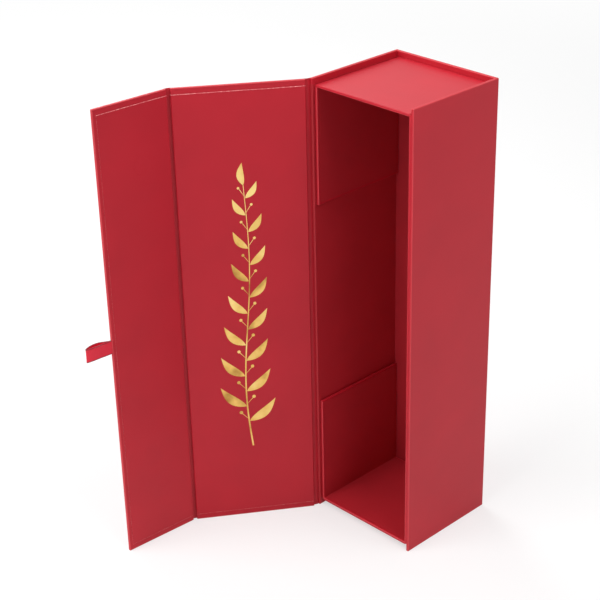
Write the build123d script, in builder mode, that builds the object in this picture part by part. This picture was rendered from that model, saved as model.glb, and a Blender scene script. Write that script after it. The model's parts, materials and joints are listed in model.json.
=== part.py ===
from build123d import *
import math
import os

os.makedirs("parts", exist_ok=True)

# A tall, book-style gift box for a bottle, standing on its end with the lid and flap open.
# X runs across the mouth, from the spine wall (-X) to the front wall (+X).
# The mouth faces -Y and the base wall is at +Y. Z is up, and z = 0 is the floor.

# Driving sizes of the erected box, in millimetres
box_height = 350.0
box_width = 95.0
box_depth = 87.0
flap_width = 61.5

# Materials of the covered boards
board = 1.8
paper = 0.2
bare_panel = board + 2 * paper
lined_panel = board + 3 * paper
turn_in = 15.0
lining_inset = 4.5

# The case: the panels' top and bottom edges stand past the end walls by the rim
rim = 4.3
mouth_y = -box_depth / 2
back_y = box_depth / 2
spine_x = -box_width / 2
front_x = box_width / 2
corner_round = 0.5
spine_overlap = 1.0
spine_mouth_y = mouth_y - spine_overlap

# The hinge folds: a laminated paper strip bends in its middle layer, beside the boards' outer faces
closed_gap = 0.3
fold_inset = paper
hinge_paper = 2 * paper
spine_to_fold = 1.5
lid_to_fold = 2.6
flap_to_fold = 1.6
fold_bend = 3.0
free_edge_inset = 3.0
lid_fold_x = spine_x + fold_inset
lid_fold_y = mouth_y - closed_gap - lined_panel + fold_inset
lid_pitch = box_width + closed_gap + lined_panel - 2 * fold_inset
lid_start = lid_to_fold
lid_end = lid_pitch - lid_to_fold
flap_start = flap_to_fold
flap_end = flap_width

# Where the lid and the flap stand at rest: directions in plan, in degrees from +X
lid_direction = 235.1
flap_direction = 266.5

# The inner strip: one creased strip of board makes the inner front wall, both end walls and two ears
tape = 0.2
tape_width = 12.0
tape_length = 70.0
ear_length = 90.0
strip_bend = 2.6
strip_mouth_gap = 0.7
strip_back_gap = 0.2
strip_margin = 12.0
lining_setback = 2.0
strip_left = spine_x + lined_panel + tape
strip_right = front_x - lined_panel
strip_bottom = rim
strip_top = box_height - rim
strip_mouth_y = mouth_y + strip_mouth_gap
strip_back_y = back_y - lined_panel - strip_back_gap
strip_depth = strip_back_y - strip_mouth_y

# The closure: discs let into the boards, and the ribbon pull
magnet_radius = 6.0
magnet_thickness = 1.2
magnet_from_fold = 25.5
magnet_from_end = 49.0
magnet_heights = (magnet_from_end, box_height - magnet_from_end)
ribbon_width = 10.4
ribbon_height = 174.5
ribbon_thickness = 0.35
ribbon_reach = 20.0
ribbon_tail = 22.0
ribbon_joined = 2.0
ribbon_tip_depth = 0.3
ribbon_inner_belly = 2.35
ribbon_outer_belly = -1.5
ribbon_belly_share = 0.45


def panel_plan(fold_x, fold_y, direction):
    """A hinged panel's plan: x along it from its fold line, y = 0 on its outer face and growing inwards."""
    along = (math.cos(math.radians(direction)), math.sin(math.radians(direction)), 0)
    across = (-along[1], along[0], 0)
    origin = (fold_x - fold_inset * across[0], fold_y - fold_inset * across[1], 0)
    return Plane(origin=origin, x_dir=along, z_dir=(0, 0, 1))


flap_fold_x = lid_fold_x + lid_pitch * math.cos(math.radians(lid_direction))
flap_fold_y = lid_fold_y + lid_pitch * math.sin(math.radians(lid_direction))
lid_plan = panel_plan(lid_fold_x, lid_fold_y, lid_direction)
flap_plan = panel_plan(flap_fold_x, flap_fold_y, flap_direction)


def channel(outer, inner, front_mouth=mouth_y):
    """A U in plan along the spine, base and front walls, between two depths below their outer faces."""
    with BuildLine() as edge:
        Polyline(
            (spine_x + outer, spine_mouth_y),
            (spine_x + outer, back_y - outer),
            (front_x - outer, back_y - outer),
            (front_x - outer, front_mouth),
            (front_x - inner, front_mouth),
            (front_x - inner, back_y - inner),
            (spine_x + inner, back_y - inner),
            (spine_x + inner, spine_mouth_y),
            close=True,
        )
    make_face(edge.edges())


def rect(x0, x1, y0, y1):
    """A rectangle between two corners of the sketch."""
    with Locations(((x0 + x1) / 2, (y0 + y1) / 2)):
        Rectangle(abs(x1 - x0), abs(y1 - y0))


def slab(plan, x0, x1, y0, y1, z0, z1, mode=Mode.ADD):
    """A flat sheet or board on a plan: x along the panel, y through its thickness, z up."""
    with BuildSketch(plan.offset(min(z0, z1))) as outline:
        rect(x0, x1, y0, y1)
    extrude(outline.sketch, amount=abs(z1 - z0), mode=mode)


def save(piece, name):
    """Labels a finished piece and writes its file."""
    piece.part.label = name
    export_step(piece.part, f"parts/{name}.step")


# Spine board: the wall that the lid hinges on
with BuildPart() as spine_board:
    slab(
        Plane.XY,
        spine_x + paper,
        spine_x + paper + board,
        spine_mouth_y,
        back_y - bare_panel,
        paper,
        box_height - paper,
    )
save(spine_board, "spine_board")

# Base board: the wall opposite the mouth
with BuildPart() as base_board:
    slab(
        Plane.XY,
        spine_x + bare_panel,
        front_x - bare_panel,
        back_y - paper - board,
        back_y - paper,
        paper,
        box_height - paper,
    )
save(base_board, "base_board")

# Front board: the wall that the flap closes on, with two blind pockets for the discs
with BuildPart() as front_board:
    slab(
        Plane.XY,
        front_x - paper - board,
        front_x - paper,
        mouth_y + paper,
        back_y - bare_panel,
        paper,
        box_height - paper,
    )
    for z in magnet_heights:
        with BuildSketch(Plane.YZ.offset(front_x - paper - board)):
            with Locations((lid_fold_y + magnet_from_fold, z)):
                Circle(magnet_radius)
        extrude(amount=magnet_thickness, mode=Mode.SUBTRACT)
save(front_board, "front_board")

# Front discs: two steel plates in the front board's pockets, which the flap's magnets catch
with BuildPart() as front_discs:
    for z in magnet_heights:
        with BuildSketch(Plane.YZ.offset(front_x - paper - board)):
            with Locations((lid_fold_y + magnet_from_fold, z)):
                Circle(magnet_radius)
        extrude(amount=magnet_thickness)
save(front_discs, "front_discs")

# Case wrap: one sheet of printed paper round the three walls, turned in over every free edge
with BuildPart() as case_wrap:
    with BuildSketch():
        channel(0, paper)
    extrude(amount=box_height)
    for z, up in ((0, 1), (box_height, -1)):
        with BuildSketch(Plane.XY.offset(z)):
            channel(0, bare_panel)
        extrude(amount=up * paper)
        with BuildSketch(Plane.XY.offset(z)):
            channel(paper + board, bare_panel)
        extrude(amount=up * turn_in)
        slab(
            Plane.XY,
            spine_x + hinge_paper,
            spine_x + bare_panel,
            spine_mouth_y - paper,
            spine_mouth_y,
            z,
            z + up * lining_inset,
        )
    slab(Plane.XY, front_x - bare_panel, front_x, mouth_y, mouth_y + paper, 0, box_height)
    slab(
        Plane.XY,
        front_x - bare_panel,
        front_x - paper - board,
        mouth_y,
        mouth_y + turn_in,
        0,
        box_height,
    )
    uprights = case_wrap.edges().filter_by(Axis.Z)
    back_corners = [
        e
        for e in uprights
        if abs(abs(e.center().X) - box_width / 2) < 0.01 and abs(e.center().Y - back_y) < 0.01
    ]
    fillet(back_corners, corner_round)
save(case_wrap, "case_wrap")

# Case lining: a second sheet inside, thicker where it isn't lapped over the wrap's turned-in edges
with BuildPart() as case_lining:
    with BuildSketch(Plane.XY.offset(turn_in)):
        channel(paper + board, lined_panel, mouth_y + turn_in)
    extrude(amount=box_height - 2 * turn_in)
    with BuildSketch(Plane.XY.offset(lining_inset)):
        channel(bare_panel, lined_panel, strip_mouth_y + lining_setback)
    extrude(amount=box_height - 2 * lining_inset)
    slab(
        Plane.XY,
        spine_x + hinge_paper,
        spine_x + lined_panel,
        spine_mouth_y - paper,
        spine_mouth_y,
        lining_inset,
        box_height - lining_inset,
    )
save(case_lining, "case_lining")


def strip_plane(y):
    """A plane seen from the mouth, with x to the right and z up. Negative amounts go towards the base."""
    return Plane(origin=(0, y, 0), x_dir=(1, 0, 0), z_dir=(0, -1, 0))


def strip_path(depth):
    """The strip's line at a depth below its outer face: ear, bottom end, front, top end, ear."""
    left = strip_left + depth
    right = strip_right - depth
    low = strip_bottom + depth
    high = strip_top - depth
    return FilletPolyline(
        (left, strip_bottom + ear_length),
        (left, low),
        (right, low),
        (right, high),
        (left, high),
        (left, strip_top - ear_length),
        radius=strip_bend - depth,
    )


def strip_band(outer, inner):
    """A C between two depths below the strip's outer face, with rounded creases."""
    with BuildLine() as edge:
        far = strip_path(outer)
        near = strip_path(inner)
        Line(far @ 0, near @ 0)
        Line(far @ 1, near @ 1)
    make_face(edge.edges())


# Inner strip boards: front, two ends and two ears, with a bare crease between neighbours
strip_boards = {
    "inner_front_board": (
        (strip_right - paper - board, strip_right - paper),
        (strip_bottom + strip_bend, strip_top - strip_bend),
    ),
    "bottom_end_board": (
        (strip_left + strip_bend, strip_right - strip_bend),
        (strip_bottom + paper, strip_bottom + paper + board),
    ),
    "top_end_board": (
        (strip_left + strip_bend, strip_right - strip_bend),
        (strip_top - paper - board, strip_top - paper),
    ),
    "bottom_ear_board": (
        (strip_left + paper, strip_left + paper + board),
        (strip_bottom + strip_bend, strip_bottom + ear_length - paper),
    ),
    "top_ear_board": (
        (strip_left + paper, strip_left + paper + board),
        (strip_top - ear_length + paper, strip_top - strip_bend),
    ),
}
for name, (across, height) in strip_boards.items():
    with BuildPart() as strip_board:
        with BuildSketch(strip_plane(strip_mouth_y + paper)):
            rect(*across, *height)
        extrude(amount=-(strip_depth - 2 * paper))
    save(strip_board, name)

# Tray wrap: the sheet on the strip's outer face, turned over its long edges and the ears' ends
with BuildPart() as tray_wrap:
    with BuildSketch(strip_plane(strip_mouth_y)):
        strip_band(0, paper)
    extrude(amount=-strip_depth)
    for y, towards_mouth in ((strip_mouth_y, -1), (strip_back_y, 1)):
        with BuildSketch(strip_plane(y)):
            strip_band(0, bare_panel)
        extrude(amount=towards_mouth * paper)
        with BuildSketch(strip_plane(y)):
            strip_band(paper + board, bare_panel)
        extrude(amount=towards_mouth * strip_margin)
    for z in (strip_bottom + ear_length - paper, strip_top - ear_length):
        slab(
            Plane.XY, strip_left, strip_left + bare_panel, strip_mouth_y, strip_back_y, z, z + paper
        )
save(tray_wrap, "tray_wrap")

# Tray lining: the sheet on the strip's inner face, from ear to ear
with BuildPart() as tray_lining:
    with BuildSketch(strip_plane(strip_mouth_y + strip_margin)):
        strip_band(paper + board, lined_panel)
    extrude(amount=-(strip_depth - 2 * strip_margin))
    with BuildSketch(strip_plane(strip_mouth_y + lining_setback)):
        strip_band(bare_panel, lined_panel)
    extrude(amount=-(strip_depth - 2 * lining_setback))
    for z in (strip_bottom + ear_length, strip_top - ear_length):
        slab(
            Plane.XY,
            strip_left,
            strip_left + lined_panel,
            strip_mouth_y,
            strip_back_y,
            z - paper,
            z + paper,
            mode=Mode.SUBTRACT,
        )
save(tray_lining, "tray_lining")

# Ear tapes: two strips of double-sided tape a side hold each ear to the spine wall
with BuildPart() as ear_tapes:
    for z in (strip_bottom + ear_length / 2, strip_top - ear_length / 2):
        with BuildSketch(Plane.YZ.offset(strip_left - tape)):
            with Locations((0, z)):
                with GridLocations(box_depth / 2, tape_length, 2, 1):
                    Rectangle(tape_width, tape_length)
        extrude(amount=tape)
save(ear_tapes, "ear_tapes")


def panel_wrap(plan, start, end, hinged_ends, free_edge):
    """A hinged panel's wrap: the outer sheet, turned in at the top, the bottom and any free edge."""
    with BuildPart() as wrap:
        slab(plan, start, end, 0, paper, 0, box_height)
        for z, up in ((0, 1), (box_height, -1)):
            slab(plan, start, end, 0, bare_panel, z, z + up * paper)
            slab(plan, start, end, paper + board, bare_panel, z, z + up * turn_in)
            for edge, out in hinged_ends:
                slab(
                    plan, edge, edge + out * paper, hinge_paper, bare_panel, z, z + up * lining_inset
                )
        if free_edge:
            slab(plan, end - paper, end, 0, bare_panel, 0, box_height)
            slab(plan, end - turn_in, end, paper + board, bare_panel, 0, box_height)
    return wrap


def panel_lining(plan, start, end, hinged_ends, free_edge):
    """A hinged panel's lining: thin over the turned-in wrap, thick between, and down each hinged edge."""
    thick_end = end - turn_in if free_edge else end
    thin_end = end - free_edge_inset if free_edge else end
    low = lining_inset
    high = box_height - lining_inset
    with BuildPart() as lining:
        slab(plan, start, thick_end, paper + board, lined_panel, turn_in, box_height - turn_in)
        slab(plan, start, thin_end, bare_panel, lined_panel, low, high)
        for edge, out in hinged_ends:
            slab(plan, edge, edge + out * paper, hinge_paper, lined_panel, low, high)
    return lining


def fold_strip(name, before, fold, after):
    """The laminated paper of a hinge: a thin bent strip through the fold line, as tall as the box."""
    with BuildPart() as strip:
        with BuildSketch():
            with BuildLine(mode=Mode.PRIVATE) as middle:
                FilletPolyline(before, fold, after, radius=fold_bend)
            trace(middle.line, line_width=hinge_paper)
        extrude(amount=box_height)
    save(strip, name)


# Lid: board, wrap and lining, hinged at both ends
lid_ends = ((lid_start, -1), (lid_end, 1))
with BuildPart() as lid_board:
    slab(lid_plan, lid_start, lid_end, paper, paper + board, paper, box_height - paper)
save(lid_board, "lid_board")
save(panel_wrap(lid_plan, lid_start, lid_end, lid_ends, False), "lid_wrap")
save(panel_lining(lid_plan, lid_start, lid_end, lid_ends, False), "lid_lining")

# Flap board: two blind pockets for the magnets, and a pressed seat for the ribbon's tails
flap_ends = ((flap_start, -1),)
flap_inside = flap_plan.from_local_coords(Vector(0, paper + board, 0))
magnet_plane = Plane(origin=flap_inside, x_dir=flap_plan.x_dir, z_dir=flap_plan.y_dir)
ribbon_low = ribbon_height - ribbon_width / 2
ribbon_high = ribbon_height + ribbon_width / 2
ribbon_seat = paper + board - 2 * ribbon_thickness


def magnet_spots():
    """The magnets' circles on the flap board's inner face, where the plane's y runs down."""
    with Locations(*[(magnet_from_fold, -z) for z in magnet_heights]):
        Circle(magnet_radius)


with BuildPart() as flap_board:
    slab(flap_plan, flap_start, flap_end - paper, paper, paper + board, paper, box_height - paper)
    with BuildSketch(magnet_plane):
        magnet_spots()
    extrude(amount=-magnet_thickness, mode=Mode.SUBTRACT)
    slab(
        flap_plan,
        flap_end - ribbon_tail,
        flap_end,
        ribbon_seat,
        paper + board,
        ribbon_low,
        ribbon_high,
        mode=Mode.SUBTRACT,
    )
save(flap_board, "flap_board")

# Flap magnets: two flat discs, flush with the board under the lining
with BuildPart() as flap_magnets:
    with BuildSketch(magnet_plane):
        magnet_spots()
    extrude(amount=-magnet_thickness)
save(flap_magnets, "flap_magnets")

# Flap wrap and lining: the wrap's free edge has a slot that the ribbon comes out of
with BuildPart() as flap_wrap:
    add(panel_wrap(flap_plan, flap_start, flap_end, flap_ends, True).part)
    slab(
        flap_plan,
        flap_end - paper,
        flap_end,
        ribbon_seat,
        paper + board,
        ribbon_low,
        ribbon_high,
        mode=Mode.SUBTRACT,
    )
save(flap_wrap, "flap_wrap")
save(panel_lining(flap_plan, flap_start, flap_end, flap_ends, True), "flap_lining")

# Ribbon pull: a satin ribbon doubled into a flat loop, its two tails glued under the lining
root_inner = (flap_end, paper + board)
root_outer = (flap_end, ribbon_seat)
tip = (flap_end + ribbon_reach, ribbon_tip_depth)
hollow_root = (flap_end + ribbon_joined, paper + board - ribbon_thickness)
hollow_tip = (flap_end + ribbon_reach - 2 * ribbon_thickness, ribbon_tip_depth)
belly = flap_end + ribbon_reach * ribbon_belly_share
with BuildPart() as ribbon_pull:
    with BuildSketch(flap_plan.offset(ribbon_low)):
        with BuildLine():
            ThreePointArc(root_inner, (belly, ribbon_inner_belly), tip)
            ThreePointArc(tip, (belly, ribbon_outer_belly), root_outer)
            Line(root_outer, root_inner)
        make_face()
        with BuildLine():
            ThreePointArc(hollow_root, (belly, ribbon_inner_belly - ribbon_thickness), hollow_tip)
            ThreePointArc(hollow_tip, (belly, ribbon_outer_belly + ribbon_thickness), hollow_root)
        make_face(mode=Mode.SUBTRACT)
        rect(flap_end - ribbon_tail, flap_end, ribbon_seat, paper + board)
    extrude(amount=ribbon_width)
save(ribbon_pull, "ribbon_pull")

# Hinge papers: the wrap and the lining pressed together in the two grooves
lid_u = (math.cos(math.radians(lid_direction)), math.sin(math.radians(lid_direction)))
flap_u = (math.cos(math.radians(flap_direction)), math.sin(math.radians(flap_direction)))
fold_strip(
    "lid_hinge_paper",
    (lid_fold_x, lid_fold_y + spine_to_fold),
    (lid_fold_x, lid_fold_y),
    (lid_fold_x + lid_to_fold * lid_u[0], lid_fold_y + lid_to_fold * lid_u[1]),
)
fold_strip(
    "flap_hinge_paper",
    (flap_fold_x - lid_to_fold * lid_u[0], flap_fold_y - lid_to_fold * lid_u[1]),
    (flap_fold_x, flap_fold_y),
    (flap_fold_x + flap_to_fold * flap_u[0], flap_fold_y + flap_to_fold * flap_u[1]),
)
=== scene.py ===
import json
import math

import bmesh
import bpy
import numpy as np
from mathutils import Matrix, Vector

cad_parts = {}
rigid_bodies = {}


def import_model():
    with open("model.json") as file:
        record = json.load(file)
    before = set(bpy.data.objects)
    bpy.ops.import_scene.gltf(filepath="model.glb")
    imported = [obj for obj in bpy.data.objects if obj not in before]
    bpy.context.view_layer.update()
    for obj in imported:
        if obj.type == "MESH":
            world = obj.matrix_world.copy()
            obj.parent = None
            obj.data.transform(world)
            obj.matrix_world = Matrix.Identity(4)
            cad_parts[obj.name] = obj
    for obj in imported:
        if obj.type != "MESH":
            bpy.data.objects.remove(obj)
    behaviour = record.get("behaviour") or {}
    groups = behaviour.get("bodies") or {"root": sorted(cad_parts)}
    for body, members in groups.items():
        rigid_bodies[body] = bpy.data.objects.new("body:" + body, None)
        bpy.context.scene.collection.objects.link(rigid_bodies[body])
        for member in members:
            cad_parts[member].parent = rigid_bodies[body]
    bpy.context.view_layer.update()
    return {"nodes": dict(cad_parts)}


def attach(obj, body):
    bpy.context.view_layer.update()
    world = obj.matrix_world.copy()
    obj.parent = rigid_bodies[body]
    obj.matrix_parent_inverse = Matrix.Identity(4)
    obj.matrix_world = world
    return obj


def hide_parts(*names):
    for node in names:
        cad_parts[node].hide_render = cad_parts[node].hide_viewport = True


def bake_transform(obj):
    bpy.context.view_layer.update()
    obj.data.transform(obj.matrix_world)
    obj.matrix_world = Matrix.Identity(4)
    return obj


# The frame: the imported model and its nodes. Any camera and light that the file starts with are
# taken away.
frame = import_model()
nodes = frame["nodes"]
scene = bpy.context.scene
for leftover in list(bpy.data.objects):
    if leftover.type in {"CAMERA", "LIGHT"}:
        bpy.data.objects.remove(leftover)


# Camera: placed from a fit of the box's edges in the photograph. The lens comes from the fitted focal
# length, and the shift from the place where the optical axis meets the picture.
MM = 0.001
cam_place = Vector((690.42, -760.06, 694.52)) * MM
cam_target = Vector((-21.37, -33.77, 159.89)) * MM
cam_roll = math.radians(-0.45)
focal_px = 1561.16
image_px = 600
axis_px = (350, 330)
sensor_mm = 36.0
camera_data = bpy.data.cameras.new("camera")
camera_data.sensor_width = sensor_mm
camera_data.lens = focal_px / image_px * sensor_mm
camera_data.shift_x = (image_px / 2 - axis_px[0]) / image_px
camera_data.shift_y = (axis_px[1] - image_px / 2) / image_px
camera_data.clip_start = 0.05
camera_data.clip_end = 30
camera = bpy.data.objects.new("camera", camera_data)
scene.collection.objects.link(camera)
ahead = (cam_target - cam_place).normalized()
level_right = ahead.cross(Vector((0, 0, 1))).normalized()
level_up = level_right.cross(ahead)
right = math.cos(cam_roll) * level_right + math.sin(cam_roll) * level_up
up = math.cos(cam_roll) * level_up - math.sin(cam_roll) * level_right
turn = Matrix((right, up, -ahead)).transposed().to_4x4()
camera.matrix_world = Matrix.Translation(cam_place) @ turn
scene.camera = camera


# Light: a dim even room and six square softboxes that face the middle of the object. Three stand in
# front, one on the left and behind, one high on the right and a weak one on the right and behind.
scene.view_settings.view_transform = "Standard"
world = bpy.data.worlds.new("studio")
scene.world = world
world.use_nodes = True
sky = world.node_tree.nodes["Background"]
sky.inputs["Color"].default_value = (1, 1, 1, 1)
sky.inputs["Strength"].default_value = 0.2
lamp_target = Vector((0, -0.02, 0.17))
lamp_side = 0.8


def softbox(name, place, watts):
    """A square softbox at a place, facing the lamps' target."""
    data = bpy.data.lights.new(name, "AREA")
    data.shape = "SQUARE"
    data.size = lamp_side
    data.energy = watts
    lamp = bpy.data.objects.new(name, data)
    scene.collection.objects.link(lamp)
    lamp.location = place
    lamp.rotation_mode = "QUATERNION"
    lamp.rotation_quaternion = (lamp_target - Vector(place)).to_track_quat("-Z", "Y")


softbox("front_high", (-0.10, -0.81, 1.56), 7.0)
softbox("front_low", (-0.16, -1.32, 1.09), 6.0)
softbox("front_left", (-0.90, -1.05, 0.90), 9.0)
softbox("left_back", (-1.33, 0.38, 0.97), 13.0)
softbox("right_high", (0.80, -0.02, 1.56), 11.6)
softbox("right_back", (0.94, 0.77, 1.20), 2.4)


# Floor: a matt white sheet just under the object's foot. To the rays that see the white room it is
# partly plain white, and wholly so far from the object, so that its edge can't be seen.
floor_reach = 6.0
floor_gap = 0.00015
floor_tone = 0.92
near_floor, far_floor = 0.55, 1.7
near_share = 0.55


def node_material(name):
    """A new material, with its node tree and its Principled shader."""
    material = bpy.data.materials.new(name)
    material.use_nodes = True
    tree = material.node_tree
    shader = tree.nodes["Principled BSDF"]
    return material, tree, shader


def white_rays(tree):
    """1 for rays from the camera, off gloss or through glass, which see a white room, and 0 for light."""
    ray = tree.nodes.new("ShaderNodeLightPath")
    seen = ray.outputs["Is Camera Ray"]
    for kind in ("Is Glossy Ray", "Is Transmission Ray"):
        either = tree.nodes.new("ShaderNodeMath")
        either.operation = "MAXIMUM"
        tree.links.new(seen, either.inputs[0])
        tree.links.new(ray.outputs[kind], either.inputs[1])
        seen = either.outputs["Value"]
    return seen


def map_range(tree, value, source, target=(0.0, 1.0), smooth=False):
    """A value taken from one range to another, and held at both ends."""
    node = tree.nodes.new("ShaderNodeMapRange")
    if smooth:
        node.interpolation_type = "SMOOTHSTEP"
    node.inputs["From Min"].default_value, node.inputs["From Max"].default_value = source
    node.inputs["To Min"].default_value, node.inputs["To Max"].default_value = target
    tree.links.new(value, node.inputs["Value"])
    return node.outputs["Result"]


def floor_material():
    """Matt white, mixed with plain white light for the white rays. The share grows smoothly with the
    distance from the origin, from near_share at near_floor to 1 at far_floor."""
    material, tree, shader = node_material("floor")
    add, link = tree.nodes.new, tree.links.new
    shader.inputs["Base Color"].default_value = (floor_tone, floor_tone, floor_tone, 1)
    shader.inputs["Roughness"].default_value = 0.9
    shader.inputs["Specular IOR Level"].default_value = 0.1
    place = add("ShaderNodeTexCoord")
    away = add("ShaderNodeVectorMath")
    away.operation = "LENGTH"
    link(place.outputs["Object"], away.inputs[0])
    whiter = map_range(tree, away.outputs["Value"], (near_floor, far_floor), (near_share, 1.0), smooth=True)
    share = add("ShaderNodeMath")
    share.operation = "MULTIPLY"
    link(white_rays(tree), share.inputs[0])
    link(whiter, share.inputs[1])
    glow = add("ShaderNodeEmission")
    mix = add("ShaderNodeMixShader")
    link(share.outputs["Value"], mix.inputs["Fac"])
    link(shader.outputs["BSDF"], mix.inputs[1])
    link(glow.outputs["Emission"], mix.inputs[2])
    link(mix.outputs["Shader"], tree.nodes["Material Output"].inputs["Surface"])
    return material


floor_mesh = bpy.data.meshes.new("floor")
floor_corners = [(x * floor_reach, y * floor_reach, 0) for x, y in ((-1, -1), (1, -1), (1, 1), (-1, 1))]
floor_mesh.from_pydata(floor_corners, [], [(0, 1, 2, 3)])
floor_mesh.materials.append(floor_material())
floor = bpy.data.objects.new("floor", floor_mesh)
scene.collection.objects.link(floor)
floor.location.z = -floor_gap


# Backdrop: the room is plain white to the camera, in gloss and through glass. For all other rays it
# stays the dim even source of light that is set above.
world_tree = world.node_tree
white = world_tree.nodes.new("ShaderNodeBackground")
white.inputs["Color"].default_value = (1, 1, 1, 1)
white.inputs["Strength"].default_value = 1.0
choose = world_tree.nodes.new("ShaderNodeMixShader")
world_tree.links.new(white_rays(world_tree), choose.inputs["Fac"])
world_tree.links.new(sky.outputs["Background"], choose.inputs[1])
world_tree.links.new(white.outputs["Background"], choose.inputs[2])
world_tree.links.new(choose.outputs["Shader"], world_tree.nodes["World Output"].inputs["Surface"])


# Laminated paper: a satin red sheet with a fine grain and a faint unevenness of the glued board below.
# It is painted paler where it is folded over a free edge, a painted highlight, and its pale core shows at a
# trimmed edge.
def noise(tree, place, scale, detail):
    """A noise texture that is read at a place: values round 0.5."""
    node = tree.nodes.new("ShaderNodeTexNoise")
    node.inputs["Scale"].default_value = scale
    node.inputs["Detail"].default_value = detail
    tree.links.new(place, node.inputs["Vector"])
    return node.outputs["Fac"]


def bump(tree, height, strength, distance, below=None):
    """A normal bumped by a height, over the distance in metres, on top of the normal below it."""
    node = tree.nodes.new("ShaderNodeBump")
    node.inputs["Strength"].default_value = strength
    node.inputs["Distance"].default_value = distance
    tree.links.new(height, node.inputs["Height"])
    if below is not None:
        tree.links.new(below, node.inputs["Normal"])
    return node.outputs["Normal"]


def ramp(tree, value, low, high, between=()):
    """A colour that a value picks from a ramp. Each stop is a position and a colour."""
    node = tree.nodes.new("ShaderNodeValToRGB")
    stops = node.color_ramp.elements
    for stop, (position, colour) in zip(stops, (low, high)):
        stop.position, stop.color = position, (*colour, 1)
    for position, colour in between:
        stops.new(position).color = (*colour, 1)
    tree.links.new(value, node.inputs["Fac"])
    return node.outputs["Color"]


def object_place(tree):
    """The place on the object, in metres."""
    return tree.nodes.new("ShaderNodeTexCoord").outputs["Object"]


def paper_group():
    """A node group that takes a colour and a roughness. A slow noise takes the colour down and up by 4 %
    and makes a faint wave. A fine noise adds 0.08 of itself to the roughness and makes a tooth."""
    tree = bpy.data.node_groups.new("laminated_paper", "ShaderNodeTree")
    for way in ("INPUT", "OUTPUT"):
        tree.interface.new_socket("Color", in_out=way, socket_type="NodeSocketColor")
        tree.interface.new_socket("Roughness", in_out=way, socket_type="NodeSocketFloat")
    tree.interface.new_socket("Normal", in_out="OUTPUT", socket_type="NodeSocketVector")
    add, link = tree.nodes.new, tree.links.new
    given = add("NodeGroupInput")
    out = add("NodeGroupOutput")
    place = object_place(tree)
    grain = noise(tree, place, 1500, 3)
    cloud = noise(tree, place, 28, 2)
    tint = add("ShaderNodeVectorMath")
    tint.operation = "SCALE"
    link(given.outputs["Color"], tint.inputs[0])
    link(map_range(tree, cloud, (0.3, 0.7), (0.96, 1.04)), tint.inputs["Scale"])
    link(tint.outputs["Vector"], out.inputs["Color"])
    rough = add("ShaderNodeMath")
    rough.operation = "MULTIPLY_ADD"
    rough.inputs[1].default_value = 0.08
    link(grain, rough.inputs[0])
    link(given.outputs["Roughness"], rough.inputs[2])
    link(rough.outputs["Value"], out.inputs["Roughness"])
    wave = bump(tree, cloud, 1.0, 0.00009)
    link(bump(tree, grain, 0.35, 0.00002, wave), out.inputs["Normal"])
    return tree


laminated = paper_group()


def paper_material(name, colour, roughness=0.42):
    """A laminated paper of one colour."""
    material, tree, shader = node_material(name)
    group = tree.nodes.new("ShaderNodeGroup")
    group.node_tree = laminated
    group.inputs["Color"].default_value = (*colour, 1)
    group.inputs["Roughness"].default_value = roughness
    tree.links.new(group.outputs["Color"], shader.inputs["Base Color"])
    tree.links.new(group.outputs["Roughness"], shader.inputs["Roughness"])
    tree.links.new(group.outputs["Normal"], shader.inputs["Normal"])
    shader.inputs["Specular IOR Level"].default_value = 0.27
    return material


def cut_edge_material():
    """A trimmed edge of the laminated paper: its pale core shows here and there through the red."""
    material, tree, shader = node_material("cut_edge")
    fleck = noise(tree, object_place(tree), 700, 2)
    colour = ramp(tree, fleck, (0.40, (0.56, 0.09, 0.11)), (0.74, (0.86, 0.42, 0.41)))
    tree.links.new(colour, shader.inputs["Base Color"])
    shader.inputs["Roughness"].default_value = 0.7
    return material


red = (0.48, 0.0115, 0.0245)
red_paper = paper_material("red_paper", red)
red_lining = paper_material("red_lining", red)
# Inside the bay the same paper is painted darker and browner than the case's red: painted shade, with a
# painted dull reflection.
bay_lining_shaded = paper_material("bay_lining_shaded", (0.44, 0.019, 0.029))
# Paler, glossier red on the folds over free edges: a painted highlight.
painted_fold_highlight = paper_material("painted_fold_highlight", (0.60, 0.045, 0.058), 0.36)
cut_edge = cut_edge_material()


# Case wrap: one sheet of laminated art paper round the spine, base and front boards, glued down and
# turned in over every free edge. Its folds are pressed round the board, so they are soft, not sharp.
# In the hinge grooves it runs on over the board's end by the overlap.
box_height = 350.0
mouth_y, spine_mouth_y, back_y = -43.5, -44.5, 43.5
spine_x, front_x = -47.5, 47.5
covered_board = 2.2
fold_radius = 0.6
overlap = 0.2
case_bend = 0.5
turn_points = 5
inner_face = (4 * turn_points - 1,)
UP = (0, 0, 1)


def put_mesh(name, points, faces, materials, face_slots=None, smooth=True):
    """A mesh object at the origin, from points in millimetres."""
    data = bpy.data.meshes.new(name)
    data.from_pydata((np.asarray(points, float) * MM).tolist(), [], [list(map(int, f)) for f in faces])
    for material in materials:
        data.materials.append(material)
    if face_slots is not None:
        data.polygons.foreach_set("material_index", np.asarray(face_slots, np.int32))
    data.polygons.foreach_set("use_smooth", np.full(len(data.polygons), smooth))
    data.update()
    piece = bpy.data.objects.new(name, data)
    scene.collection.objects.link(piece)
    return piece


def tube_faces(rings, around):
    """Quads between neighbouring closed rings of the same number of points, and one cap at each end."""
    i, j = np.meshgrid(np.arange(rings - 1), np.arange(around), indexing="ij")
    a = i * around + j
    b = i * around + (j + 1) % around
    quads = np.stack([a, b, b + around, a + around], -1).reshape(-1, 4).tolist()
    last = (rings - 1) * around
    return quads + [list(range(around))[::-1], list(range(last, last + around))]


def outwards(piece):
    """Turns a closed piece's faces outwards."""
    shell = bmesh.new()
    shell.from_mesh(piece.data)
    bmesh.ops.recalc_face_normals(shell, faces=shell.faces)
    shell.to_mesh(piece.data)
    shell.free()
    return piece


def level_faces(piece):
    """Lets a rounded piece's large flat faces keep their own normals."""
    flat = piece.modifiers.new("flat_faces", "WEIGHTED_NORMAL")
    flat.mode = "FACE_AREA"
    flat.weight = 80
    return piece


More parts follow.
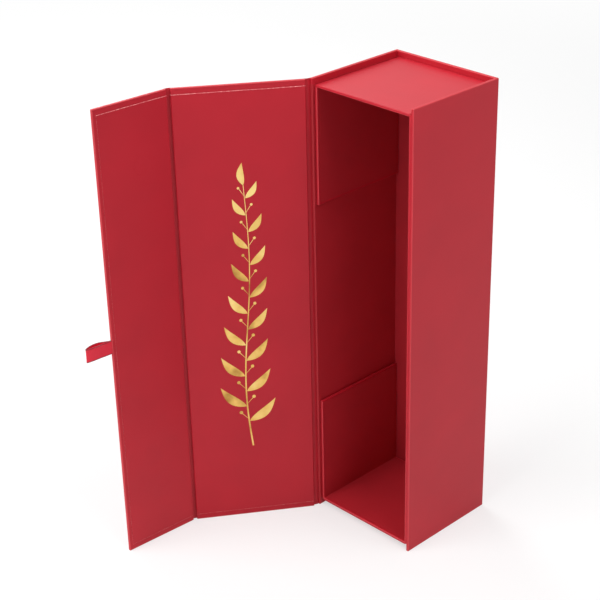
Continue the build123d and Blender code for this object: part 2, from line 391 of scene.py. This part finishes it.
def rounded_loop(low, high, inset):
    """A covered board's section, depth by width: a rounded rectangle drawn in by an inset, with a quarter
    turn of the radius that is left at each corner. It goes from the inner face's high corner over the
    outer face to the inner face's low corner, so its last face is the inner one."""
    left = max(fold_radius - inset, 0.0)
    quarter = np.linspace(0, np.pi / 2, turn_points)
    corners = (
        (covered_board - inset - left, high - inset - left, 0.0),
        (inset + left, high - inset - left, np.pi / 2),
        (inset + left, low + inset + left, np.pi),
        (covered_board - inset - left, low + inset + left, 1.5 * np.pi),
    )
    turns = []
    for depth, width, start in corners:
        angle = quarter + start
        turns.append(np.stack([depth + left * np.cos(angle), width + left * np.sin(angle)], -1))
    return np.concatenate(turns)


def wrapped_board(name, outer, inner, across, low, high, free_ends=(False, False), groove_flanks=()):
    """A covered board along a path. outer and inner are the path's points on its two faces, and across is
    the direction of its width. Its section is a rounded rectangle, and its two ends are rounded by
    rings that step along the path by r(1 - cos a) and draw in by r(1 - sin a). The paper is painted
    paler where it is folded over an edge, a painted highlight, but not at an end that lies in a groove,
    nor on the loop's faces that are listed as groove flanks, which keep the plain red."""
    outer, inner = np.asarray(outer, float), np.asarray(inner, float)
    across = np.asarray(across, float)
    angles = np.linspace(0, np.pi / 2, turn_points)[:-1]
    steps = [fold_radius * (1 - np.cos(angle)) for angle in angles] + [fold_radius]
    insets = [fold_radius * (1 - np.sin(angle)) for angle in angles] + [0.0]
    first = (outer[1] - outer[0]) / np.linalg.norm(outer[1] - outer[0])
    final = (outer[-1] - outer[-2]) / np.linalg.norm(outer[-1] - outer[-2])
    stations = [(outer[0] + first * s, inner[0] + first * s, inset) for s, inset in zip(steps, insets)]
    stations += [(o, i, 0.0) for o, i in zip(outer[1:-1], inner[1:-1])]
    for s, inset in zip(steps[::-1], insets[::-1]):
        stations.append((outer[-1] - final * s, inner[-1] - final * s, inset))
    rings = []
    for o, i, inset in stations:
        loop = rounded_loop(low, high, inset)
        rings.append(o + (i - o) * (loop[:, :1] / covered_board) + across * loop[:, 1:])
    around = len(rings[0])
    i, j = np.meshgrid(np.arange(len(rings) - 1), np.arange(around), indexing="ij")
    on_turn = j % turn_points < turn_points - 1
    last_end = i >= len(rings) - 1 - len(angles)
    # Faces that get the fold's painted highlight. Groove flanks keep the plain red.
    fold_highlight_mask = np.where(i < len(angles), free_ends[0], np.where(last_end, free_ends[1], on_turn))
    fold_highlight_mask &= ~np.isin(j, groove_flanks)
    slots = np.concatenate([fold_highlight_mask.ravel().astype(int), [0, 0]])
    faces = tube_faces(len(rings), around)
    piece = put_mesh(name, np.concatenate(rings), faces, [red_paper, painted_fold_highlight], slots)
    return level_faces(outwards(piece))


def soft_corner(corner, before, after, radius):
    """Points round a right-angled corner: a quarter circle between the two directions, in plan."""
    corner, before, after = (np.asarray(v, float) for v in (corner, before, after))
    centre = corner - radius * before + radius * after
    angles = np.linspace(0, np.pi / 2, turn_points)
    return [centre + radius * (before * np.sin(a) - after * np.cos(a)) for a in angles]


case_outer = [(spine_x, spine_mouth_y - overlap, 0)]
case_inner = [(spine_x + covered_board, spine_mouth_y - overlap, 0)]
case_outer += soft_corner((spine_x, back_y, 0), (0, 1, 0), (1, 0, 0), case_bend)
case_inner += [(spine_x + covered_board, back_y - covered_board, 0)] * turn_points
case_outer += soft_corner((front_x, back_y, 0), (1, 0, 0), (0, -1, 0), case_bend)
case_inner += [(front_x - covered_board, back_y - covered_board, 0)] * turn_points
case_outer.append((front_x, mouth_y, 0))
case_inner.append((front_x - covered_board, mouth_y, 0))
case_wrap = wrapped_board(
    "case_wrap_sheet", case_outer, case_inner, UP, 0, box_height, (False, True), inner_face
)
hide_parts("case_wrap")
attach(case_wrap, "box")


# Case lining: a second sheet of the same paper inside the case, laid over the turned-in edges. It runs
# from the hinge groove over the spine's edge, round the walls, and ends under the inner strip.
lining_low, lining_high = 4.5, 345.5
lined_board = 2.4
case_sheet = 0.19
lining_bend = 0.5
hair = 0.02
strip_mouth_y = mouth_y + 0.7
strip_lap = 2.0
sheet_rows = 3


def run_lengths(path):
    """The distance along a path of each of its points."""
    return np.concatenate([[0], np.cumsum(np.linalg.norm(np.diff(path, axis=0), axis=1))])


def grid_faces(rows, columns):
    """Quads between the neighbouring points of a grid."""
    i, j = np.meshgrid(np.arange(rows - 1), np.arange(columns - 1), indexing="ij")
    a = (i * columns + j).ravel()
    return np.stack([a, a + 1, a + columns + 1, a + columns], -1)


def paper_sheet(name, outer, inner, low, high, jitter, seed, materials, flank=0.0):
    """A thin sheet along a path in plan, flat shaded. Its faces follow the path's two sides. Its two long
    cut edges wander a little up and down, as a trimmed edge does: a sum of three sines. The inner face
    ends short of the outer by the flank, which slants the cut. The rim has the last material."""
    outer, inner = np.asarray(outer, float), np.asarray(inner, float)
    count = len(outer)
    phase = np.random.default_rng(seed).uniform(0, 2 * np.pi, (2, 3))
    rate = np.array([0.11, 0.43, 1.3])
    share = np.array([0.5, 0.3, 0.2])
    along = run_lengths(outer)
    wander = [(share * np.sin(along[:, None] * rate + p)).sum(1) * jitter for p in phase]
    rows_outer, rows_inner = [], []
    for h in np.linspace(0, 1, sheet_rows):
        z = (low + wander[0]) * (1 - h) + (high + wander[1]) * h
        rows_outer.append(np.column_stack([outer, z]))
        rows_inner.append(np.column_stack([inner, z + flank * (1 - 2 * h)]))
    half = sheet_rows * count
    front = grid_faces(sheet_rows, count)
    back = front[:, ::-1] + half
    bottom = np.arange(count - 1)
    top = (sheet_rows - 1) * count + bottom
    start = np.arange(sheet_rows - 1) * count
    end = start + count - 1
    rims = ((bottom + 1, bottom), (top, top + 1), (start, start + count), (end + count, end))
    rim = np.concatenate([np.stack([a, b, b + half, a + half], -1) for a, b in rims])
    slots = np.concatenate([np.zeros(len(front) + len(back)), np.full(len(rim), len(materials) - 1)])
    points, faces = np.concatenate(rows_outer + rows_inner), np.concatenate([front, back, rim])
    return outwards(put_mesh(name, points, faces, materials, slots, smooth=False))


def fine_path(points, step=4.0):
    """The same polyline with extra points on its long runs, so that a cut edge can wander."""
    points = [np.asarray(p, float) for p in points]
    out = [points[0]]
    for a, b in zip(points[:-1], points[1:]):
        parts = max(1, int(np.linalg.norm(b - a) / step))
        out += [a + (b - a) * k / parts for k in range(1, parts + 1)]
    return np.array(out)


def offset_path(path, distance):
    """The path moved sideways to its left by a distance: each point along its mitre."""
    run = np.diff(path, axis=0)
    run /= np.linalg.norm(run, axis=1)[:, None]
    left = np.column_stack([-run[:, 1], run[:, 0]])
    before = np.vstack([left[:1], left])
    after = np.vstack([left, left[-1:]])
    mitre = (before + after) / (1 + (before * after).sum(1))[:, None]
    return path + mitre * distance


case_lining_path = fine_path(
    [
        (spine_x + lining_bend, spine_mouth_y - overlap - hair),
        (spine_x + covered_board - lining_bend, spine_mouth_y - overlap - hair),
        (spine_x + covered_board, spine_mouth_y - overlap + lining_bend),
        (spine_x + covered_board, back_y - covered_board),
        (front_x - covered_board, back_y - covered_board),
        (front_x - covered_board, strip_mouth_y + strip_lap),
    ]
)
case_lining = paper_sheet(
    "case_lining_sheet",
    case_lining_path,
    offset_path(case_lining_path, -case_sheet),
    lining_low,
    lining_high,
    jitter=0.06,
    seed=3,
    materials=[bay_lining_shaded],
)
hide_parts("case_lining")
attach(case_lining, "box")


# Inner strip: one creased strip of board makes the inner front wall, both end walls and two ears. Its
# wrap is folded round its long edges, and its lining covers the creases on the inside. The ears are
# held to the spine wall by tape.
tape, back_slack = 0.2, 0.2
strip_left, strip_right = spine_x + (lined_board + tape), front_x - lined_board
strip_low, strip_high = 4.3, 345.7
strip_back_y = back_y - lined_board - back_slack
ear_length = 90.0
crease_radius = 2.6
crease_points = 9
outer_mouth_fold = tuple(range(2 * turn_points, 3 * turn_points - 1))


def strip_line(depth):
    """The strip's line at a depth below its outer face, as x and z: ear, end, front, end, ear, with a
    round crease at each of the four corners."""
    x0, x1 = strip_left + depth, strip_right - depth
    z0, z1 = strip_low + depth, strip_high - depth
    radius = crease_radius - depth
    turns = np.linspace(0, np.pi / 2, crease_points)
    corners = ((x0, z0, np.pi), (x1, z0, 1.5 * np.pi), (x1, z1, 0.0), (x0, z1, 0.5 * np.pi))
    points = [(x0, strip_low + ear_length)]
    for x, z, start in corners:
        cx = x + radius if x == x0 else x - radius
        cz = z + radius if z == z0 else z - radius
        points += [(cx + radius * np.cos(start + t), cz + radius * np.sin(start + t)) for t in turns]
    points.append((x0, strip_high - ear_length))
    return np.array([(x, 0.0, z) for x, z in points])


tray_wrap = wrapped_board(
    "tray_wrap_sheet",
    strip_line(0),
    strip_line(covered_board),
    (0, 1, 0),
    strip_mouth_y,
    strip_back_y,
    groove_flanks=outer_mouth_fold,
)
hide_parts("tray_wrap")
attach(tray_wrap, "box")


def tray_sheet():
    """The strip's lining: the strip's inner line, 0.2 thick and sunk by 0.01. It is trimmed short of the
    strip's mouth edge, of its back edge and of both ears' edges."""
    trim, sunk = 2.0, 0.01
    near, far = strip_line(covered_board - sunk), strip_line(lined_board)
    near[0, 2] = far[0, 2] = strip_low + ear_length - trim
    near[-1, 2] = far[-1, 2] = strip_high - ear_length + trim
    y0, y1 = strip_mouth_y + trim, strip_back_y - trim
    rings = []
    for a, b in zip(near, far):
        rings.append([(a[0], y0, a[2]), (a[0], y1, a[2]), (b[0], y1, b[2]), (b[0], y0, b[2])])
    points = np.array(rings).reshape(-1, 3)
    faces = tube_faces(len(rings), 4)
    piece = put_mesh("tray_lining_sheet", points, faces, [bay_lining_shaded], smooth=False)
    return level_faces(outwards(piece))


tray_lining = tray_sheet()
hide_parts("tray_lining")
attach(tray_lining, "box")


# Lid: a flat board in the same wrap. Its wrap stops 2.4 mm from the fold of the hinge paper at each
# side. Its lining is trimmed 4.5 mm short at the top and bottom, and goes down into both grooves.
lid_fold = np.array((-47.3, -46.0))
lid_turn = math.radians(235.1)
lid_pitch = 97.3
lid_along = np.array((math.cos(lid_turn), math.sin(lid_turn)))
lid_across = np.array((-lid_along[1], lid_along[0]))
fold_depth = 0.2
lid_start, lid_end = 2.6, lid_pitch - 2.6
panel_sheet, panel_flank = 0.2, 0.3
groove_depth = 0.6
free_trim = 3.0


def on_lid(u, s):
    """A point in plan on the lid: u from its fold, s inwards from its outer face."""
    return lid_fold + u * lid_along + (s - fold_depth) * lid_across


def hinged_panel(name, place, start, end, body, cad_node, free_end=False):
    """A straight covered board on the lid's or the flap's plan."""
    ends = [start - overlap, (start + end) / 2, end]
    outer = [(*place(u, 0), 0) for u in ends]
    inner = [(*place(u, covered_board), 0) for u in ends]
    panel = wrapped_board(name, outer, inner, UP, 0, box_height, (False, free_end))
    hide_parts(cad_node)
    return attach(panel, body)


def panel_lining(name, place, start, end, far_groove, body, cad_node, seed, materials):
    """A lining that comes up out of the groove, bends over the board's edge and lies on its face. It
    goes down into a second groove, or ends short of the board's free edge."""
    near, far = start - overlap, end + overlap
    path = [(near - hair, groove_depth), (near - hair, covered_board - lining_bend)]
    path.append((near + lining_bend, covered_board))
    if far_groove:
        path += [(far - lining_bend, covered_board), (far + hair, covered_board - lining_bend)]
        path.append((far + hair, groove_depth))
    else:
        path.append((end - free_trim, covered_board))
    plan = fine_path([place(u, s) for u, s in path])
    lining = paper_sheet(
        name,
        plan,
        offset_path(plan, panel_sheet),
        lining_low,
        lining_high,
        jitter=0.07,
        seed=seed,
        materials=materials,
        flank=panel_flank,
    )
    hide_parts(cad_node)
    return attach(lining, body)


hinged_panel("lid_wrap_sheet", on_lid, lid_start, lid_end + overlap, "lid", "lid_wrap")
panel_lining(
    "lid_lining_sheet",
    on_lid,
    lid_start,
    lid_end,
    far_groove=True,
    body="lid",
    cad_node="lid_lining",
    seed=5,
    materials=[red_lining, cut_edge],
)


# Flap: a narrower covered board that laps over the front wall. Two magnets are glued into its board,
# and each shows through the lining as a faint round dent.
flap_turn = math.radians(266.5)
flap_fold = lid_fold + lid_pitch * lid_along
flap_along = np.array((math.cos(flap_turn), math.sin(flap_turn)))
flap_across = np.array((-flap_along[1], flap_along[0]))
flap_start, flap_end = 1.6, 61.5
magnet_u, magnet_heights = 25.5, (49.0, 301.0)
dent_radius, dent_rim = 0.0063, 0.0007


def on_flap(u, s):
    """A point in plan on the flap: u from its fold, s inwards from its outer face."""
    return flap_fold + u * flap_along + (s - fold_depth) * flap_across


def dented(material, centres):
    """Adds to a paper a shallow round dent at each centre: the height climbs smoothly over its rim."""
    tree = material.node_tree
    place = object_place(tree)
    normal = next(n for n in tree.nodes if n.type == "GROUP").outputs["Normal"]
    for centre in centres:
        away = tree.nodes.new("ShaderNodeVectorMath")
        away.operation = "DISTANCE"
        away.inputs[1].default_value = centre
        tree.links.new(place, away.inputs[0])
        rim = (dent_radius - dent_rim, dent_radius + dent_rim)
        normal = bump(tree, map_range(tree, away.outputs["Value"], rim, smooth=True), 0.6, 0.00012, normal)
    tree.links.new(normal, tree.nodes["Principled BSDF"].inputs["Normal"])
    return material


magnet_places = [(*on_flap(magnet_u, lined_board) * MM, z * MM) for z in magnet_heights]
flap_paper = dented(paper_material("red_lining_dented", red), magnet_places)
hinged_panel("flap_wrap_sheet", on_flap, flap_start, flap_end, "flap", "flap_wrap", free_end=True)
panel_lining(
    "flap_lining_sheet",
    on_flap,
    flap_start,
    flap_end,
    far_groove=False,
    body="flap",
    cad_node="flap_lining",
    seed=8,
    materials=[flap_paper, cut_edge],
)


# Hinge papers: in each groove the wrap and the lining are pressed together into one supple strip, which
# is tucked under the boards' covers at both sides. It is one fixed shape that does not move with the lid or
# the flap.
tucked = 0.9
half_strip = 0.19
strip_trim = 0.12
spine_gap, lid_gap, flap_gap = 1.3, 2.4, 1.4


def hinge_strip(name, before, fold, after, cad_node):
    """A strip 0.38 mm thick: straight under one board's edge, a quadratic curve past the fold, and
    straight under the next. before and after are (point, direction away from the fold)."""
    (a, back), (b, onward) = before, after
    t = np.linspace(0, 1, 15)[:, None]
    bend = (1 - t) ** 2 * a + 2 * t * (1 - t) * fold + t**2 * b
    path = np.vstack([a + tucked * np.asarray(back), bend, b + tucked * np.asarray(onward)])
    strip = paper_sheet(
        name,
        offset_path(path, -half_strip),
        offset_path(path, half_strip),
        strip_trim,
        box_height - strip_trim,
        jitter=0.02,
        seed=11,
        materials=[red_paper],
    )
    strip.data.polygons.foreach_set("use_smooth", np.full(len(strip.data.polygons), True))
    strip.data.set_sharp_from_angle(angle=math.radians(40))
    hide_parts(cad_node)
    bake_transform(strip)
    return strip


hinge_strip(
    "lid_hinge_strip",
    (lid_fold + np.array((0, spine_gap)), (0, 1)),
    lid_fold,
    (on_lid(lid_gap, fold_depth), lid_along),
    "lid_hinge_paper",
)
hinge_strip(
    "flap_hinge_strip",
    (on_lid(lid_pitch - lid_gap, fold_depth), -lid_along),
    flap_fold,
    (on_flap(flap_gap, fold_depth), flap_along),
    "flap_hinge_paper",
)


# Foil ornament: a generic leafy spray, hot-stamped in gold foil on the lid's lining. It is a film only
# about a hundredth of a millimetre thick, with a fine tooth like the paper's grain.
foil_depth = 2.415
foil_thickness = 0.000012
spray_low, spray_high = 62.0, 292.0
spray_middle = 48.6
stem_points, leaf_count = 90, 15


def foil_material():
    """Gold foil: metallic, with paler and browner patches painted into its colour, a painted reflection of
    the room.
    """
    material, tree, shader = node_material("gold_foil")
    place = object_place(tree)
    patch = noise(tree, place, 42, 4)
    brown, gold, pale = (0.42, 0.21, 0.045), (0.80, 0.50, 0.13), (0.97, 0.72, 0.27)
    colour = ramp(tree, patch, (0.34, brown), (0.66, pale), [(0.47, gold)])
    tree.links.new(colour, shader.inputs["Base Color"])
    tooth = bump(tree, noise(tree, place, 900, 2), 0.5, 0.00003)
    tree.links.new(tooth, shader.inputs["Normal"])
    shader.inputs["Metallic"].default_value = 0.85
    shader.inputs["Roughness"].default_value = 0.32
    return material


def stem_u(z):
    """The stem's place across the lid at a height: a slow sine that weakens towards the tip."""
    share = (z - spray_low) / (spray_high - spray_low)
    return spray_middle + 4.2 * np.sin(share * 2.1 * np.pi) * (1 - 0.55 * share)


def leaf_outline(u, z, lean, length, width):
    """A pointed leaf from its foot: half-width w sin(pi t^0.8) across, a slight curve along."""
    t = np.linspace(0, 1, 15)
    half = width / 2 * np.sin(np.pi * t**0.8)
    sway = 0.10 * length * np.sin(np.pi * t)
    side = np.concatenate([half, -half[-2:0:-1]])
    run = np.concatenate([t, t[-2:0:-1]]) * length
    drift = np.concatenate([sway, sway[-2:0:-1]]) * np.sign(lean)
    across = side + drift
    du = run * np.sin(lean) + across * np.cos(lean)
    dz = run * np.cos(lean) - across * np.sin(lean)
    return np.column_stack([u + du, z + dz])


def round_outline(u, z, radius, sides=18):
    """A small dot."""
    t = np.linspace(0, 2 * np.pi, sides, endpoint=False)
    return np.column_stack([u + radius * np.cos(t), z + radius * np.sin(t)])


def foil_outlines():
    """The spray's outlines: a tapering stem, leaves in turn to the left and right, and berries."""
    z = np.linspace(spray_low, spray_high - 14, stem_points)
    u = stem_u(z)
    taper = np.linspace(1.0, 0.35, stem_points) * 0.62
    shapes = [np.column_stack([np.append(u - taper, (u + taper)[::-1]), np.append(z, z[::-1])])]
    feet = np.linspace(spray_low + 22, spray_high - 26, leaf_count)
    for k, foot in enumerate(feet):
        side = 1 if k % 2 else -1
        share = k / (len(feet) - 1)
        length = 27 - 12 * share
        lean = side * math.radians(48 - 14 * share)
        shapes.append(leaf_outline(stem_u(foot) + side * 0.5, foot, lean, length, 7.2 - 2.6 * share))
        berry = foot + 3.5
        reach_out = 5.5 - 1.5 * share
        shapes.append(round_outline(stem_u(berry) - side * reach_out, berry + 4.5, 1.35 - 0.4 * share))
        stalk_z = np.array([berry - 1.5, berry - 1.1, berry + 3.6, berry + 3.3])
        stalk_u = stem_u(berry) - side * np.array([0.2, 0.2, reach_out - 1.0, reach_out - 0.6])
        shapes.append(np.column_stack([stalk_u, stalk_z]))
    tip = spray_high - 16
    shapes.append(leaf_outline(stem_u(tip), tip, 0.02, 17, 5.2))
    return shapes


def foil_spray():
    """All the outlines as flat faces on the lid's lining, given a little thickness."""
    points, faces = [], []
    for outline in foil_outlines():
        base = len(points)
        points += [(*on_lid(u, foil_depth), z) for u, z in outline]
        faces.append(list(range(base, base + len(outline))))
    piece = put_mesh("foil_spray", points, faces, [foil_material()], smooth=False)
    shell = bmesh.new()
    shell.from_mesh(piece.data)
    bmesh.ops.triangulate(shell, faces=[f for f in shell.faces if len(f.verts) > 4])
    bmesh.ops.recalc_face_normals(shell, faces=shell.faces)
    inward = Vector((*lid_across, 0))
    for face in shell.faces:
        if face.normal.dot(inward) < 0:
            face.normal_flip()
    shell.to_mesh(piece.data)
    shell.free()
    film = piece.modifiers.new("film", "SOLIDIFY")
    film.thickness = foil_thickness
    film.offset = -1
    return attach(piece, "lid")


foil_spray()


# Ribbon pull: 10.4 mm woven satin ribbon doubled into a loop, its tails glued under the flap's lining.
# It comes out at the flap's free edge, and stands out as a soft flat loop.
ribbon_height, ribbon_width, ribbon_thickness = 174.5, 10.4, 0.0003
ribbon_stations = np.array(
    [
        (48.0, 1.62, 0.0, 0.0),
        (58.0, 1.62, 0.0, 0.0),
        (61.6, 1.70, 0.0, 0.0),
        (65.0, 1.92, 0.1, 0.3),
        (70.0, 2.02, 0.2, 0.6),
        (74.5, 1.85, 0.1, 0.6),
        (78.5, 1.15, -0.3, 0.4),
        (81.0, 0.20, -0.7, 0.2),
        (81.55, -0.65, -0.9, 0.0),
        (80.6, -1.50, -0.8, -0.3),
        (76.5, -2.4, -0.2, -0.5),
        (71.0, -2.1, 0.2, -0.4),
        (66.0, -0.35, 0.1, 0.0),
        (62.8, 0.95, 0.0, 0.0),
        (61.0, 1.28, 0.0, 0.0),
        (58.0, 1.30, 0.0, 0.0),
        (48.0, 1.30, 0.0, 0.0),
    ]
)


def satin_material():
    """Woven satin: paler and deeper streaks along the ribbon painted into its colour, a painted sheen, and
    a darker corded selvedge at each side.
    """
    material, tree, shader = node_material("ribbon_satin")
    add, link = tree.nodes.new, tree.links.new
    place = add("ShaderNodeUVMap")
    place.uv_map = "ribbon"
    split = add("ShaderNodeSeparateXYZ")
    link(place.outputs["UV"], split.inputs["Vector"])
    edge = add("ShaderNodeMath")
    edge.operation = "PINGPONG"
    edge.inputs[1].default_value = 0.5
    link(split.outputs["Y"], edge.inputs[0])
    selvedge = map_range(tree, edge.outputs["Value"], (0.035, 0.075))
    stretch = add("ShaderNodeMapping")
    stretch.inputs["Scale"].default_value = (3.0, 60.0, 1.0)
    link(place.outputs["UV"], stretch.inputs["Vector"])
    # Streaks along the ribbon between a deeper and a paler red: a painted sheen.
    satin = add("ShaderNodeMix")
    satin.data_type = "RGBA"
    satin.inputs["A"].default_value = (0.62, 0.009, 0.030, 1)
    satin.inputs["B"].default_value = (0.80, 0.022, 0.052, 1)
    link(noise(tree, stretch.outputs["Vector"], 1.6, 3), satin.inputs["Factor"])
    colour = add("ShaderNodeMix")
    colour.data_type = "RGBA"
    colour.inputs["A"].default_value = (0.24, 0.004, 0.014, 1)
    link(selvedge, colour.inputs["Factor"])
    link(satin.outputs["Result"], colour.inputs["B"])
    link(colour.outputs["Result"], shader.inputs["Base Color"])
    weave = add("ShaderNodeTexWave")
    weave.inputs["Scale"].default_value = 9
    weave.inputs["Distortion"].default_value = 0.4
    link(stretch.outputs["Vector"], weave.inputs["Vector"])
    link(bump(tree, weave.outputs["Fac"], 0.25, 0.00004), shader.inputs["Normal"])
    shader.inputs["Roughness"].default_value = 0.34
    shader.inputs["Specular IOR Level"].default_value = 0.3
    return material


def smooth_line(stations):
    """A Catmull-Rom curve through the stations: on each run a cubic, whose slope at a station is half
    the way from the station before it to the one after it."""
    ends = np.vstack([2 * stations[0] - stations[1], stations, 2 * stations[-1] - stations[-2]])
    t = np.linspace(0, 1, 9)[:-1][:, None]
    runs = []
    for a, b, c, d in zip(ends[:-3], ends[1:-2], ends[2:-1], ends[3:]):
        square, cube = 2 * a - 5 * b + 4 * c - d, 3 * b - a - 3 * c + d
        runs.append(0.5 * (2 * b + (c - a) * t + square * t**2 + cube * t**3))
    return np.vstack(runs + [stations[-1:]])


def ribbon_loop():
    """A strip swept along the loop: the near side, a rounded tip and the far side. The stations give the
    distance along the flap, the depth, the droop and the twist in degrees. Beyond the flap's edge the
    strip is crowned: it bulges by 0.12(1 - w^2), with w from -1 to 1 across it."""
    line = smooth_line(ribbon_stations)
    around = np.gradient(line[:, :2], axis=0)
    around /= np.linalg.norm(around, axis=1)[:, None]
    side = np.column_stack([-around[:, 1], around[:, 0]])
    width = np.linspace(-0.5, 0.5, 13)
    crown_start, crown_run, twist_gain = 62, 12, 2.2
    lift = np.clip((line[:, :1] - crown_start) / crown_run, 0, 1)
    crown = 0.12 * (1 - (2 * width) ** 2) * lift
    along = line[:, :1] - side[:, :1] * crown
    depth = line[:, 1:2] - side[:, 1:] * crown
    depth = depth + np.deg2rad(line[:, 3:]) * width * ribbon_width * twist_gain
    height = ribbon_height + line[:, 2:3] + width * ribbon_width
    rows, columns = along.shape
    plan = flap_fold + along[..., None] * flap_along + (depth - fold_depth)[..., None] * flap_across
    points = np.concatenate([plan, height[..., None]], -1).reshape(-1, 3)
    faces = grid_faces(rows, columns)
    piece = put_mesh("satin_ribbon", points, faces, [satin_material()])
    uv = piece.data.uv_layers.new(name="ribbon")
    corner = faces.ravel()
    length = run_lengths(line[:, :2]) / ribbon_width
    pairs = np.column_stack([length[corner // columns], corner % columns / (columns - 1)])
    uv.data.foreach_set("uv", pairs.ravel())
    weave = piece.modifiers.new("weave_thickness", "SOLIDIFY")
    weave.thickness = ribbon_thickness
    weave.offset = 0
    return piece, float(length[-1]) * ribbon_width * MM


ribbon, ribbon_length = ribbon_loop()
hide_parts("ribbon_pull")
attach(ribbon, "flap")


# Boards, tapes, discs and magnets: what the paper covers. Grey pressed board, cut square, with two steel
# discs in the front board, two magnets in the flap's board and double-sided tape behind each ear.
def plain_material(name, colour, roughness, metallic=0.0, grain_scale=700, mottle=0.12):
    """A plain finish. A fine noise takes its colour down and up by the mottle's share."""
    material, tree, shader = node_material(name)
    grain = noise(tree, object_place(tree), grain_scale, 4)
    darker = [c * (1 - mottle) for c in colour]
    paler = [c * (1 + mottle) for c in colour]
    tree.links.new(ramp(tree, grain, (0.3, darker), (0.7, paler)), shader.inputs["Base Color"])
    shader.inputs["Roughness"].default_value = roughness
    shader.inputs["Metallic"].default_value = metallic
    return material


hidden_finishes = {
    plain_material("greyboard", (0.30, 0.28, 0.25), 0.85): [
        "spine_board",
        "base_board",
        "front_board",
        "inner_front_board",
        "top_end_board",
        "bottom_end_board",
        "top_ear_board",
        "bottom_ear_board",
        "lid_board",
        "flap_board",
    ],
    plain_material("disc_steel", (0.52, 0.52, 0.53), 0.35, metallic=1.0, grain_scale=90, mottle=0.05): [
        "front_discs"
    ],
    plain_material("magnet_nickel", (0.62, 0.61, 0.58), 0.25, metallic=1.0, grain_scale=60, mottle=0.04): [
        "flap_magnets"
    ],
    plain_material("tape_film", (0.82, 0.80, 0.72), 0.5, grain_scale=300, mottle=0.05): ["ear_tapes"],
}
for finish, covered in hidden_finishes.items():
    for name in covered:
        nodes[name].data.materials.clear()
        nodes[name].data.materials.append(finish)
